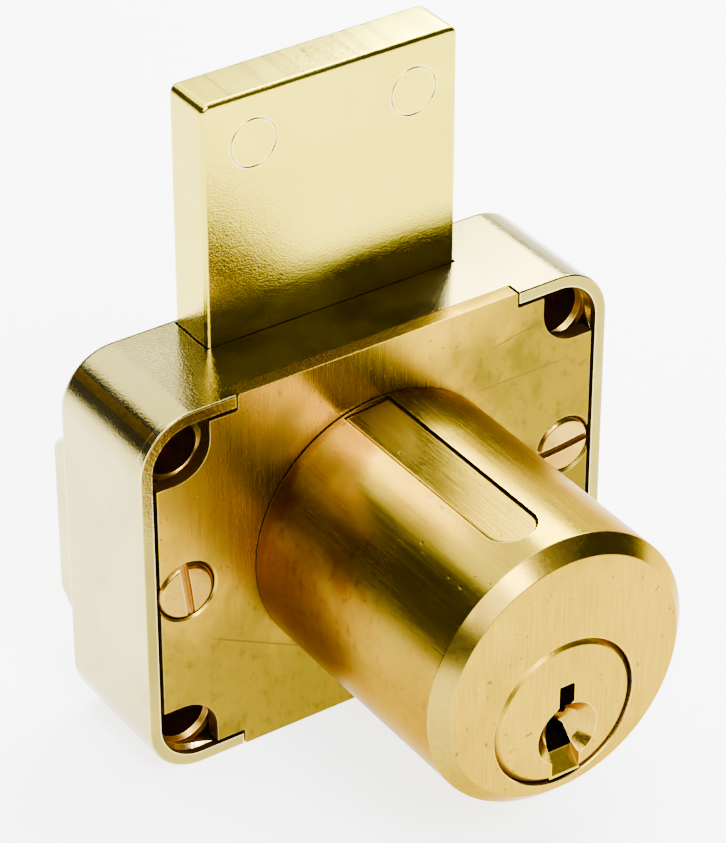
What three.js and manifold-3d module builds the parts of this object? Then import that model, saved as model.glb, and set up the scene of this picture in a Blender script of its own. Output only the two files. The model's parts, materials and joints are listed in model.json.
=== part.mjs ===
// Surface-mounted drawer deadbolt lock with a pin-tumbler cylinder.
// Millimetres, +X to the right, +Y away from the drawer front, +Z up.
// Pieces are drawn in the lock's own axes, whose origin is the barrel's axis at the face of the front
// plate, and the whole assembly is lifted at the end so that it stands on Z = 0.

import * as THREE from 'three';
import { mergeVertices } from 'three/addons/utils/BufferGeometryUtils.js';
import Module from 'manifold-3d';

const wasm = await Module();
wasm.setup();

// ---------------------------------------------------------------- driving dimensions

const CASE_HALF_WIDTH = 20.62;
const CASE_TOP = 15.65;
const CASE_BOTTOM = -15.95;
const CASE_DEPTH = 11.5;
const CASE_CORNER = 4.5;
const CASE_WALL = 1.0;
const CASE_BACK_WALL = 0.7;
const CASE_MIDDLE = (CASE_TOP + CASE_BOTTOM) / 2;

const BACK_RISE = 2.8;
const BACK_HALF_WIDTH = 19.8;
const BACK_HALF_HEIGHT = 9.0;
const BACK_DRAFT = 2.4;
const BACK_WALL = 1.4;

const PLATE_THICKNESS = 1.25;
const PLATE_GAP = 0.35;
const PLATE_CORNER = 1.5;
const TAB_HALF_WIDTH = 12.3;
const TAB_GAP = 0.15;
const PLATE_NOTCH_X = 14.72;
const PLATE_NOTCH_Z = 10.0;
const PLATE_NOTCH_CORNER = 2.2;

const SCREW_HOLE_X = 16.92;
const SCREW_HOLE_Z = 11.96;
const SCREW_HOLE_RADIUS = 2.2;
const SCREW_BOSS_RADIUS = 3.0;
const SCREW_SINK_RADIUS = 2.9;
const SCREW_SINK_DEPTH = 1.2;
const BOSS_FRONT = 1.65;

const PLATE_SCREW_X = 17.0;
const PLATE_SCREW_Z = 0.25;
const PLATE_SCREW_HEAD = 2.4;
const PLATE_SCREW_HEAD_DEPTH = 0.85;
const PLATE_SCREW_PROUD = 0.15;
const PLATE_SCREW_SHANK = 1.15;
const PLATE_SCREW_TIP = 8.5;
const PLATE_SCREW_SLOT = 0.7;
const PLATE_SCREW_SLOT_CUT = 1.2;
const PLATE_SCREW_EDGE = 0.2;
const LEFT_SLOT_TURN = -0.12;
const RIGHT_SLOT_TURN = Math.PI / 2 - 0.1;
const POST_RADIUS = 2.6;

const BARREL_RADIUS = 11.11;
const BARREL_LENGTH = 23.3;
const BARREL_BEVEL = 1.2;
const BARREL_PLATE_GAP = 0.1;
const SPIGOT_RADIUS = 10.0;
const RIVET_LIP_RADIUS = 10.8;
const BARREL_REAR = 2.2;

const PLUG_Z = -3.165;
const PLUG_RADIUS = 6.03;
const PLUG_CHAMFER = 0.45;
const PLUG_REAR = 2.6;
const RUNNING_GAP = 0.05;
const TAIL_HALF = 2.3;
const TAIL_REAR = 4.3;
const KEYWAY_REAR = -1.0;
const DISH_X = 0.35;
const DISH_HEIGHT = -2.05;
const DISH_RADIUS = 2.6;
const DISH_DEPTH = 1.3;

const PIN_TILT = -6.1 * Math.PI / 180;
const PIN_COUNT = 5;
const PIN_PITCH = 3.6;
const FIRST_PIN_Y = -17.6;
const PIN_RADIUS = 1.35;
const CHAMBER_RADIUS = 1.4;
const KEY_PIN_REST = 0.75;
const KEY_PIN_LENGTHS = [3.2, 4.0, 3.6, 4.4, 3.4];
const KEY_PIN_NOSE = 0.7;
const KEY_PIN_TIP_RADIUS = 0.35;
const DRIVER_REST = PLUG_RADIUS + 0.1;
const DRIVER_LENGTH = 3.2;
const DRIVER_CHAMFER = 0.3;
const SPRING_RADIUS = 1.05;
const SPRING_WIRE = 0.16;
const SPRING_TURNS = 4;
const SPRING_STEPS = 10;

const STRIP_WIDTH = 4.0;
const STRIP_SLOT_GAP = 0.08;
const STRIP_FRONT = -20.2;
const STRIP_REAR = -0.3;
const STRIP_UNDER = 12.8;
const STRIP_TOP = 13.95;

const THROW = 19.2;
const TURN = 120 * Math.PI / 180;
const CRANK_REST = 75 * Math.PI / 180;
const CRANK_RADIUS = THROW / (Math.sin(CRANK_REST) - Math.sin(CRANK_REST - TURN));
const CRANK_PIN_RADIUS = 1.3;
const CRANK_RIVET_RADIUS = 1.0;
const CAM_FRONT = 2.7;
const CAM_REAR = 4.4;
const CAM_HUB_RADIUS = 4.6;
const CAM_TIP_RADIUS = 2.6;
const WASHER_RADIUS = 3.4;
const WASHER_HOLE = 1.6;
const WASHER_THICKNESS = 0.4;
const CAM_SCREW_RADIUS = 1.2;
const CAM_SCREW_TIP = 1.0;
const CAM_SCREW_BORE_END = 0.2;
const CAM_SCREW_HEAD = 2.6;
const CAM_SCREW_HEAD_DEPTH = 1.2;
const CAM_SCREW_EDGE = 0.3;
const CAM_SCREW_SLOT = 0.7;
const CAM_SCREW_SLOT_DEPTH = 0.5;

const BOLT_HALF_WIDTH = 10.95;
const BOLT_FRONT = 6.3;
const BOLT_REAR = 10.7;
const BOLT_TOP = 35.6;
const BOLT_GAP = 0.1;
const TAIL_HALF_WIDTH = 13.4;
const BOLT_TAIL_TOP = 14.3;
const BOLT_TAIL_BOTTOM = 4.9;
const PIN_CLEARANCE = 0.15;

const ROUND = 64;
const SMALL_ROUND = 24;

// ---------------------------------------------------------------- solids and booleans

const toSolid = (source) => {
  source.deleteAttribute('normal');
  source.deleteAttribute('uv');
  const merged = mergeVertices(source, 1e-4);
  const index = merged.index.array;
  const kept = [];
  for (let i = 0; i < index.length; i += 3) {
    const [a, b, c] = [index[i], index[i + 1], index[i + 2]];
    if (a !== b && b !== c && c !== a) kept.push(a, b, c);
  }
  return new wasm.Manifold(new wasm.Mesh({
    numProp: 3,
    vertProperties: new Float32Array(merged.attributes.position.array),
    triVerts: new Uint32Array(kept),
  }));
};

const toGeometry = (solid) => {
  const { vertProperties, triVerts } = solid.getMesh();
  const geometry = new THREE.BufferGeometry();
  geometry.setAttribute('position', new THREE.BufferAttribute(vertProperties, 3));
  geometry.setIndex(new THREE.BufferAttribute(triVerts, 1));
  geometry.computeVertexNormals();
  return geometry;
};

const cut = (body, ...tools) => tools.reduce((solid, tool) => solid.subtract(tool), body);
const join = (body, ...others) => others.reduce((solid, other) => solid.add(other), body);

// An outline in X and Z, carried from yFront back to yRear.
const through = (outline, yFront, yRear, curveSegments = 8) => {
  const settings = { depth: yRear - yFront, bevelEnabled: false, curveSegments };
  const geometry = new THREE.ExtrudeGeometry(outline, settings);
  geometry.rotateX(Math.PI / 2);
  geometry.translate(0, yRear, 0);
  return toSolid(geometry);
};

// An outline in Y and Z, carried from xMin to xMax.
const across = (outline, xMin, xMax) => {
  const geometry = new THREE.ExtrudeGeometry(outline, { depth: xMax - xMin, bevelEnabled: false });
  const turn = new THREE.Matrix4().makeBasis(
    new THREE.Vector3(0, 1, 0),
    new THREE.Vector3(0, 0, 1),
    new THREE.Vector3(1, 0, 0),
  );
  geometry.applyMatrix4(turn);
  geometry.translate(xMin, 0, 0);
  return toSolid(geometry);
};

const box = (xMin, xMax, yMin, yMax, zMin, zMax) => {
  const geometry = new THREE.BoxGeometry(xMax - xMin, yMax - yMin, zMax - zMin);
  geometry.translate((xMin + xMax) / 2, (yMin + yMax) / 2, (zMin + zMax) / 2);
  return toSolid(geometry);
};

// A turned body about a line parallel to Y through (x, z); the profile lists [radius, y] pairs.
const turned = (profile, x, z, segments) => {
  const points = profile.map(([radius, y]) => new THREE.Vector2(radius, y));
  const geometry = new THREE.LatheGeometry(points, segments);
  geometry.translate(x, 0, z);
  return toSolid(geometry);
};

const rod = (radius, yFront, yRear, x, z, segments = SMALL_ROUND) => (
  turned([[0, yFront], [radius, yFront], [radius, yRear], [0, yRear]], x, z, segments)
);

// A turned body standing on the XY plane, about Z; the profile lists [radius, z] pairs.
const standing = (profile, segments = SMALL_ROUND) => {
  const points = profile.map(([radius, z]) => new THREE.Vector2(radius, z));
  const geometry = new THREE.LatheGeometry(points, segments);
  geometry.rotateX(Math.PI / 2);
  return toSolid(geometry);
};

const roundedRectangle = (xMin, xMax, zMin, zMax, radius) => {
  const shape = new THREE.Shape();
  shape.absarc(xMax - radius, zMin + radius, radius, -Math.PI / 2, 0);
  shape.absarc(xMax - radius, zMax - radius, radius, 0, Math.PI / 2);
  shape.absarc(xMin + radius, zMax - radius, radius, Math.PI / 2, Math.PI);
  shape.absarc(xMin + radius, zMin + radius, radius, Math.PI, 3 * Math.PI / 2);
  return shape;
};

const polygon = (points) => new THREE.Shape(points.map(([a, b]) => new THREE.Vector2(a, b)));

const eachCorner = (place) => {
  const corners = [];
  for (const side of [-1, 1]) {
    for (const end of [-1, 1]) corners.push(place(side, end));
  }
  return corners;
};

// ---------------------------------------------------------------- case

const screwHole = (side, end) => {
  const x = side * SCREW_HOLE_X;
  const z = CASE_MIDDLE + end * SCREW_HOLE_Z;
  const sinkStart = CASE_DEPTH - SCREW_SINK_DEPTH;
  const profile = [
    [0, 0],
    [SCREW_HOLE_RADIUS, 0],
    [SCREW_HOLE_RADIUS, sinkStart],
    [SCREW_SINK_RADIUS, CASE_DEPTH],
    [SCREW_SINK_RADIUS, CASE_DEPTH + 1],
    [0, CASE_DEPTH + 1],
  ];
  return turned(profile, x, z, SMALL_ROUND);
};

const screwBoss = (side, end) => (
  rod(SCREW_BOSS_RADIUS, BOSS_FRONT, CASE_DEPTH, side * SCREW_HOLE_X, CASE_MIDDLE + end * SCREW_HOLE_Z)
);

const caseShell = () => {
  const backInner = CASE_DEPTH - CASE_BACK_WALL;
  const riseRear = CASE_DEPTH + BACK_RISE;
  const sides = CASE_HALF_WIDTH - CASE_WALL;
  const outer = roundedRectangle(
    -CASE_HALF_WIDTH, CASE_HALF_WIDTH, CASE_BOTTOM, CASE_TOP, CASE_CORNER,
  );
  const inner = roundedRectangle(
    -sides, sides, CASE_BOTTOM + CASE_WALL, CASE_TOP - CASE_WALL, CASE_CORNER - CASE_WALL,
  );
  const riseTop = BACK_HALF_HEIGHT - BACK_DRAFT;
  const rise = polygon([
    [backInner, CASE_MIDDLE - BACK_HALF_HEIGHT],
    [CASE_DEPTH, CASE_MIDDLE - BACK_HALF_HEIGHT],
    [riseRear, CASE_MIDDLE - riseTop],
    [riseRear, CASE_MIDDLE + riseTop],
    [CASE_DEPTH, CASE_MIDDLE + BACK_HALF_HEIGHT],
    [backInner, CASE_MIDDLE + BACK_HALF_HEIGHT],
  ]);
  const hollow = join(
    through(inner, -1, backInner),
    box(
      BACK_WALL - BACK_HALF_WIDTH, BACK_HALF_WIDTH - BACK_WALL,
      backInner - 1, riseRear - BACK_WALL,
      CASE_MIDDLE - riseTop, CASE_MIDDLE + riseTop,
    ),
  );
  const shell = join(through(outer, 0, CASE_DEPTH), across(rise, -BACK_HALF_WIDTH, BACK_HALF_WIDTH));
  const posts = [-1, 1].map((side) => (
    rod(POST_RADIUS, BOSS_FRONT, riseRear - BACK_WALL / 2, side * PLATE_SCREW_X, PLATE_SCREW_Z)
  ));
  const postHoles = [-1, 1].map((side) => (
    rod(PLATE_SCREW_SHANK + RUNNING_GAP, 0, PLATE_SCREW_TIP + 1, side * PLATE_SCREW_X, PLATE_SCREW_Z)
  ));
  const tabNotches = box(
    -TAB_HALF_WIDTH - TAB_GAP, TAB_HALF_WIDTH + TAB_GAP,
    -1, PLATE_THICKNESS + BARREL_PLATE_GAP,
    CASE_BOTTOM - 1, CASE_TOP + 1,
  );
  const boltSlot = box(
    -BOLT_HALF_WIDTH - BOLT_GAP, BOLT_HALF_WIDTH + BOLT_GAP,
    BOLT_FRONT - BOLT_GAP, BOLT_REAR + BOLT_GAP,
    0, CASE_TOP + 1,
  );
  const filled = join(shell.subtract(hollow), ...eachCorner(screwBoss), ...posts);
  return cut(filled, ...eachCorner(screwHole), ...postHoles, tabNotches, boltSlot);
};

// ---------------------------------------------------------------- front plate and its screws

const frontPlate = () => {
  const sides = CASE_HALF_WIDTH - CASE_WALL - PLATE_GAP;
  const bottom = CASE_BOTTOM + CASE_WALL + PLATE_GAP;
  const top = CASE_TOP - CASE_WALL - PLATE_GAP;
  const body = roundedRectangle(-sides, sides, bottom, top, PLATE_CORNER);
  const tabs = box(-TAB_HALF_WIDTH, TAB_HALF_WIDTH, 0, PLATE_THICKNESS, CASE_BOTTOM, CASE_TOP);
  const notch = (side, end) => {
    const reach = PLATE_NOTCH_X + 10;
    const outline = roundedRectangle(PLATE_NOTCH_X, reach, PLATE_NOTCH_Z, reach, PLATE_NOTCH_CORNER);
    const solid = through(outline, -1, PLATE_THICKNESS + 1);
    const sided = side < 0 ? solid.mirror([1, 0, 0]) : solid;
    const placed = end < 0 ? sided.mirror([0, 0, 1]) : sided;
    return placed.translate([0, 0, CASE_MIDDLE]);
  };
  const barrelHole = rod(SPIGOT_RADIUS + RUNNING_GAP, -1, PLATE_THICKNESS + 1, 0, 0, ROUND);
  const screwSeats = [-1, 1].map((side) => turned([
    [0, -1],
    [PLATE_SCREW_HEAD + RUNNING_GAP, -1],
    [PLATE_SCREW_HEAD + RUNNING_GAP, PLATE_SCREW_HEAD_DEPTH + RUNNING_GAP],
    [PLATE_SCREW_SHANK + RUNNING_GAP, PLATE_SCREW_HEAD_DEPTH + RUNNING_GAP],
    [PLATE_SCREW_SHANK + RUNNING_GAP, PLATE_THICKNESS + 1],
    [0, PLATE_THICKNESS + 1],
  ], side * PLATE_SCREW_X, PLATE_SCREW_Z, SMALL_ROUND));
  const blank = join(through(body, 0, PLATE_THICKNESS), tabs);
  return cut(blank, ...eachCorner(notch), barrelHole, ...screwSeats);
};

const plateScrew = (side, slotAngle) => {
  const x = side * PLATE_SCREW_X;
  const body = turned([
    [0, -PLATE_SCREW_PROUD],
    [PLATE_SCREW_HEAD - PLATE_SCREW_EDGE, -PLATE_SCREW_PROUD],
    [PLATE_SCREW_HEAD, 0],
    [PLATE_SCREW_HEAD, PLATE_SCREW_HEAD_DEPTH],
    [PLATE_SCREW_SHANK, PLATE_SCREW_HEAD_DEPTH],
    [PLATE_SCREW_SHANK, PLATE_SCREW_TIP],
    [0, PLATE_SCREW_TIP],
  ], x, PLATE_SCREW_Z, SMALL_ROUND);
  const slot = new THREE.BoxGeometry(PLATE_SCREW_SLOT, PLATE_SCREW_SLOT_CUT, 2 * PLATE_SCREW_HEAD + 1);
  slot.rotateY(slotAngle);
  slot.translate(x, -PLATE_SCREW_PROUD, PLATE_SCREW_Z);
  return body.subtract(toSolid(slot));
};

// ---------------------------------------------------------------- barrel, plug and pins

// Heights above the plug's axis are measured along the pins, which lean by PIN_TILT.
const leaning = (geometry, y) => {
  geometry.rotateY(PIN_TILT);
  geometry.translate(0, y, PLUG_Z);
  return geometry;
};

const pinY = (number) => FIRST_PIN_Y + (number - 1) * PIN_PITCH;

const pinNumbers = Array.from({ length: PIN_COUNT }, (_, i) => i + 1);

const chamber = (number, from, to) => {
  const geometry = new THREE.CylinderGeometry(CHAMBER_RADIUS, CHAMBER_RADIUS, to - from, SMALL_ROUND);
  geometry.rotateX(Math.PI / 2);
  geometry.translate(0, 0, (from + to) / 2);
  return toSolid(leaning(geometry, pinY(number)));
};

// A bar with one round end, seen from above the strip, between two heights.
const stripBar = (width, front, rear, under, top) => {
  const radius = width / 2;
  const shape = new THREE.Shape();
  shape.moveTo(radius, rear);
  shape.lineTo(-radius, rear);
  shape.absarc(0, front + radius, radius, Math.PI, 2 * Math.PI);
  const geometry = new THREE.ExtrudeGeometry(shape, { depth: top - under, bevelEnabled: false });
  geometry.translate(0, 0, under);
  return toSolid(leaning(geometry, 0));
};

const barrel = () => {
  const body = turned([
    [0, -BARREL_LENGTH],
    [BARREL_RADIUS - BARREL_BEVEL, -BARREL_LENGTH],
    [BARREL_RADIUS, BARREL_BEVEL - BARREL_LENGTH],
    [BARREL_RADIUS, -BARREL_PLATE_GAP],
    [SPIGOT_RADIUS, -BARREL_PLATE_GAP],
    [SPIGOT_RADIUS, PLATE_THICKNESS + BARREL_PLATE_GAP],
    [RIVET_LIP_RADIUS, PLATE_THICKNESS + BARREL_PLATE_GAP],
    [RIVET_LIP_RADIUS, BARREL_REAR],
    [0, BARREL_REAR],
  ], 0, 0, ROUND);
  const bore = rod(PLUG_RADIUS + RUNNING_GAP, -BARREL_LENGTH - 1, BARREL_REAR + 1, 0, PLUG_Z, ROUND);
  const stripSlot = stripBar(
    STRIP_WIDTH + 2 * STRIP_SLOT_GAP, STRIP_FRONT - STRIP_SLOT_GAP, STRIP_REAR + STRIP_SLOT_GAP,
    STRIP_UNDER - STRIP_SLOT_GAP, STRIP_TOP + 3,
  );
  const chambers = pinNumbers.map((number) => chamber(number, PLUG_RADIUS - 1, STRIP_UNDER));
  return cut(body, bore, stripSlot, ...chambers);
};

const pinCoverStrip = () => stripBar(STRIP_WIDTH, STRIP_FRONT, STRIP_REAR, STRIP_UNDER, STRIP_TOP);

// The broached keyway, in X and height above the plug's axis.
const KEYWAY = [
  [-0.47, 2.36], [-0.47, 0.57], [-0.95, 0.05], [-0.95, -6.5], [1.48, -6.5], [1.48, -4.3], [1.24, -3.7],
  [0.9, -2.15], [-0.1, -1.1], [-0.1, -0.5], [0.7, -0.93], [0.74, -0.3], [0.1, 0.2], [0.88, 0.7],
  [0.88, 2.15], [0.74, 2.36],
];

const plug = () => {
  const body = turned([
    [0, -BARREL_LENGTH],
    [PLUG_RADIUS - PLUG_CHAMFER, -BARREL_LENGTH],
    [PLUG_RADIUS, PLUG_CHAMFER - BARREL_LENGTH],
    [PLUG_RADIUS, PLUG_REAR],
    [0, PLUG_REAR],
  ], 0, PLUG_Z, ROUND);
  const tail = box(-TAIL_HALF, TAIL_HALF, PLUG_REAR - 1, TAIL_REAR, PLUG_Z - TAIL_HALF, PLUG_Z + TAIL_HALF);
  const keyway = through(
    polygon(KEYWAY.map(([x, height]) => [x, PLUG_Z + height])), -BARREL_LENGTH - 1, KEYWAY_REAR,
  );
  const dish = turned([
    [0, -BARREL_LENGTH - 1],
    [DISH_RADIUS, -BARREL_LENGTH - 1],
    [DISH_RADIUS, -BARREL_LENGTH],
    [0, DISH_DEPTH - BARREL_LENGTH],
  ], DISH_X, PLUG_Z + DISH_HEIGHT, SMALL_ROUND);
  const screwBore = rod(CAM_SCREW_RADIUS + RUNNING_GAP, CAM_SCREW_BORE_END, TAIL_REAR + 1, 0, PLUG_Z);
  const chambers = pinNumbers.map((number) => (
    chamber(number, KEY_PIN_REST - RUNNING_GAP, PLUG_RADIUS + 1)
  ));
  return cut(body.add(tail), keyway, dish, screwBore, ...chambers);
};

const keyPin = (number) => {
  const length = KEY_PIN_LENGTHS[number - 1];
  return standing([
    [0, 0],
    [KEY_PIN_TIP_RADIUS, 0],
    [PIN_RADIUS, KEY_PIN_NOSE],
    [PIN_RADIUS, length],
    [0, length],
  ]);
};

const driverPin = () => standing([
  [0, 0],
  [PIN_RADIUS, 0],
  [PIN_RADIUS, DRIVER_LENGTH - DRIVER_CHAMFER],
  [PIN_RADIUS - DRIVER_CHAMFER, DRIVER_LENGTH],
  [0, DRIVER_LENGTH],
]);

class Helix extends THREE.Curve {
  constructor(radius, height, turns) {
    super();
    Object.assign(this, { radius, height, turns });
  }

  getPoint(t, target = new THREE.Vector3()) {
    const angle = 2 * Math.PI * this.turns * t;
    return target.set(this.radius * Math.cos(angle), this.radius * Math.sin(angle), this.height * t);
  }
}

const pinSpring = (height) => {
  const section = new THREE.Shape();
  section.absarc(0, 0, SPRING_WIRE, 0, 2 * Math.PI);
  const path = new Helix(SPRING_RADIUS, height - 2 * SPRING_WIRE, SPRING_TURNS);
  const settings = { steps: SPRING_STEPS * SPRING_TURNS, extrudePath: path, curveSegments: 3 };
  const geometry = new THREE.ExtrudeGeometry(section, settings);
  geometry.translate(0, 0, SPRING_WIRE);
  return toSolid(geometry);
};

// ---------------------------------------------------------------- cam, crank pin and bolt

const crankX = CRANK_RADIUS * Math.cos(CRANK_REST);
const crankZ = PLUG_Z + CRANK_RADIUS * Math.sin(CRANK_REST);

const driveCam = () => {
  const hub = rod(CAM_HUB_RADIUS, CAM_FRONT, CAM_REAR, 0, PLUG_Z, ROUND / 2);
  const tip = rod(CAM_TIP_RADIUS, CAM_FRONT, CAM_REAR, crankX, crankZ);
  const arm = new THREE.BoxGeometry(2 * CAM_TIP_RADIUS, CAM_REAR - CAM_FRONT, CRANK_RADIUS);
  arm.translate(0, 0, CRANK_RADIUS / 2);
  arm.rotateY(Math.PI / 2 - CRANK_REST);
  arm.translate(0, (CAM_FRONT + CAM_REAR) / 2, PLUG_Z);
  const half = TAIL_HALF + RUNNING_GAP;
  const squareHole = box(-half, half, 0, CAM_REAR + 1, PLUG_Z - half, PLUG_Z + half);
  const rivetHole = rod(CRANK_RIVET_RADIUS + RUNNING_GAP, 0, CAM_REAR + 1, crankX, crankZ);
  return cut(join(hub, tip, toSolid(arm)), squareHole, rivetHole);
};

const crankPin = () => turned([
  [0, CAM_FRONT],
  [CRANK_RIVET_RADIUS, CAM_FRONT],
  [CRANK_RIVET_RADIUS, CAM_REAR + RUNNING_GAP],
  [CRANK_PIN_RADIUS, CAM_REAR + RUNNING_GAP],
  [CRANK_PIN_RADIUS, BOLT_REAR - BOLT_GAP],
  [0, BOLT_REAR - BOLT_GAP],
], crankX, crankZ, SMALL_ROUND);

const washerFront = CAM_REAR + RUNNING_GAP;
const washerRear = washerFront + WASHER_THICKNESS;

const camWasher = () => {
  const disc = rod(WASHER_RADIUS, washerFront, washerRear, 0, PLUG_Z);
  return disc.subtract(rod(WASHER_HOLE, washerFront - 1, washerRear + 1, 0, PLUG_Z));
};

const camScrew = () => {
  const headFront = washerRear + RUNNING_GAP;
  const headRear = headFront + CAM_SCREW_HEAD_DEPTH;
  const body = turned([
    [0, CAM_SCREW_TIP],
    [CAM_SCREW_RADIUS, CAM_SCREW_TIP],
    [CAM_SCREW_RADIUS, headFront],
    [CAM_SCREW_HEAD, headFront],
    [CAM_SCREW_HEAD, headRear - CAM_SCREW_EDGE],
    [CAM_SCREW_HEAD - CAM_SCREW_EDGE, headRear],
    [0, headRear],
  ], 0, PLUG_Z, SMALL_ROUND);
  const half = CAM_SCREW_SLOT / 2;
  return body.subtract(box(
    -CAM_SCREW_HEAD - 1, CAM_SCREW_HEAD + 1,
    headRear - CAM_SCREW_SLOT_DEPTH, headRear + 1,
    PLUG_Z - half, PLUG_Z + half,
  ));
};

// The slot follows the path that the crank pin takes across the bolt, with clearance, and it is open
// at the side. Upwards the path bulges, because the bolt is tied to the plug at a constant ratio.
const boltSlotOutline = () => {
  const reach = CRANK_PIN_RADIUS + PIN_CLEARANCE;
  const steps = 12;
  const upper = [];
  for (let i = 0; i <= steps; i += 1) {
    const turn = TURN * i / steps;
    const angle = CRANK_REST - turn;
    const x = CRANK_RADIUS * Math.cos(angle);
    const z = PLUG_Z + CRANK_RADIUS * Math.sin(angle) + THROW * turn / TURN;
    if (angle > 0) upper.push([x, z + reach * 1.15]);
  }
  const highest = Math.max(...upper.map(([, z]) => z));
  const rising = upper.filter(([, z], i) => i === 0 || z > upper[i - 1][1]);
  const side = TAIL_HALF_WIDTH + 1;
  const floor = crankZ - reach - 0.1;
  const outline = [[side, highest], ...rising.reverse()];
  outline.push([crankX - reach * 0.9, crankZ + reach * 0.7]);
  outline.push([crankX - reach * 1.1, crankZ]);
  outline.push([crankX - reach * 0.8, floor + 0.4]);
  outline.push([crankX, floor]);
  outline.push([side, floor]);
  return polygon(outline);
};

const bolt = () => {
  const blade = box(-BOLT_HALF_WIDTH, BOLT_HALF_WIDTH, BOLT_FRONT, BOLT_REAR, BOLT_TAIL_BOTTOM, BOLT_TOP);
  const tail = box(
    -TAIL_HALF_WIDTH, TAIL_HALF_WIDTH, BOLT_FRONT, BOLT_REAR, BOLT_TAIL_BOTTOM, BOLT_TAIL_TOP,
  );
  return blade.add(tail).subtract(through(boltSlotOutline(), BOLT_FRONT - 1, BOLT_REAR + 1));
};

// ---------------------------------------------------------------- assembly

const finish = (color, roughness, metalness) => () => (
  new THREE.MeshStandardMaterial({ color, roughness, metalness })
);
const paleBrassPlate = finish('#d8cda4', 0.28, 1.0);
const satinBrass = finish('#c9a45c', 0.38, 1.0);
const turnedBrass = finish('#d2ad66', 0.35, 1.0);
const zincSteel = finish('#a9a9a4', 0.45, 1.0);
const springSteel = finish('#8c8f92', 0.35, 1.0);

const lock = new THREE.Group();
lock.position.set(0, (BARREL_LENGTH - CASE_DEPTH - BACK_RISE) / 2, -CASE_BOTTOM);

const place = (name, solid, material, parent = lock) => {
  const mesh = new THREE.Mesh(toGeometry(solid), material());
  mesh.name = name;
  parent.add(mesh);
  return mesh;
};

place('case_shell', caseShell(), paleBrassPlate);
place('front_plate', frontPlate(), satinBrass);
place('plate_screw_left', plateScrew(-1, LEFT_SLOT_TURN), satinBrass);
place('plate_screw_right', plateScrew(1, RIGHT_SLOT_TURN), satinBrass);
place('barrel', barrel(), turnedBrass);
place('pin_cover_strip', pinCoverStrip(), satinBrass);
place('plug', plug(), turnedBrass);
place('drive_cam', driveCam(), zincSteel);
place('crank_pin', crankPin(), zincSteel);
place('cam_washer', camWasher(), springSteel);
place('cam_screw', camScrew(), zincSteel);
place('bolt', bolt(), paleBrassPlate);

for (const number of pinNumbers) {
  const stack = new THREE.Group();
  stack.position.set(0, pinY(number), PLUG_Z);
  stack.rotation.y = PIN_TILT;
  lock.add(stack);
  const springBottom = DRIVER_REST + DRIVER_LENGTH + RUNNING_GAP;
  const springTop = STRIP_UNDER - RUNNING_GAP;
  place(`key_pin_${number}`, keyPin(number), satinBrass, stack).position.z = KEY_PIN_REST;
  place(`driver_pin_${number}`, driverPin(), satinBrass, stack).position.z = DRIVER_REST;
  const spring = place(`pin_spring_${number}`, pinSpring(springTop - springBottom), springSteel, stack);
  spring.position.z = springBottom;
}

export default lock;
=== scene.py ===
"""Looks of a surface-mounted drawer deadbolt lock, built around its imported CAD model.

Pieces are drawn in millimetres in the lock's own axes: the origin is the barrel's axis at the face of
the front plate, +X to the right, +Y away from the drawer front and +Z up. place() turns them into
metres in the row frame.
"""
import json
import math

import bpy
import bmesh
from mathutils import Matrix, Vector


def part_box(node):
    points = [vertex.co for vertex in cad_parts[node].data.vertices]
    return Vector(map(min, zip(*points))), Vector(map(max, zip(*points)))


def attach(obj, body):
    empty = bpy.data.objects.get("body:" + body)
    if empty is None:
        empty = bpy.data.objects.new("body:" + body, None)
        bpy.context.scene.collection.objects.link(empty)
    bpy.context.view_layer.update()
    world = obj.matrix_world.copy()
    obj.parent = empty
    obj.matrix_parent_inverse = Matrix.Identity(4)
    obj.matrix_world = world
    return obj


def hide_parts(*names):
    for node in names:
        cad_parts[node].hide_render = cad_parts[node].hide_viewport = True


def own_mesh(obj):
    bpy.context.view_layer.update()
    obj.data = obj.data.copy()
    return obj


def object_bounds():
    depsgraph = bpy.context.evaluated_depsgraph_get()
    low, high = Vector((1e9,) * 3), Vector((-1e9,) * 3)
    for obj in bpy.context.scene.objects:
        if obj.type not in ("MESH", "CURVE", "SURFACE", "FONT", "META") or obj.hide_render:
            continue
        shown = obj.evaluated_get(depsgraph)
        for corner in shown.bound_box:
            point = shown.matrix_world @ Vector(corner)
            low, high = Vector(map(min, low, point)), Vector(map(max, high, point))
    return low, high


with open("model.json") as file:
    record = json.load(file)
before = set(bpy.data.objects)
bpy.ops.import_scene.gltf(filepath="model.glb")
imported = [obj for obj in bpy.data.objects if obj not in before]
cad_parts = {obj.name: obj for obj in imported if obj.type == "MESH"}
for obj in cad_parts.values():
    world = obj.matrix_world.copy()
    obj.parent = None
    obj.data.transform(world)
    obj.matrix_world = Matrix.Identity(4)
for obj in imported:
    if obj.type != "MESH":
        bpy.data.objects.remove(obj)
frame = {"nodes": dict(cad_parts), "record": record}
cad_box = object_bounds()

MM = 0.001
TAU = 2 * math.pi

# ------------------------------------------------------------------ sizes read from the frame

barrel_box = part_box("barrel")
plate_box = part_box("front_plate")
ORIGIN = Vector((
    (barrel_box[0].x + barrel_box[1].x) / 2,
    plate_box[0].y,
    (barrel_box[0].z + barrel_box[1].z) / 2,
))


def span(node):
    """Lowest and highest corner of a CAD node, in millimetres in the lock's axes."""
    low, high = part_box(node)
    return (low - ORIGIN) / MM, (high - ORIGIN) / MM


CASE_LOW, CASE_HIGH = span("case_shell")
BARREL_LOW, BARREL_HIGH = span("barrel")
PLUG_LOW, PLUG_HIGH = span("plug")
BOLT_LOW, BOLT_HIGH = span("bolt")
CRANK_LOW, CRANK_HIGH = span("crank_pin")

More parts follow.
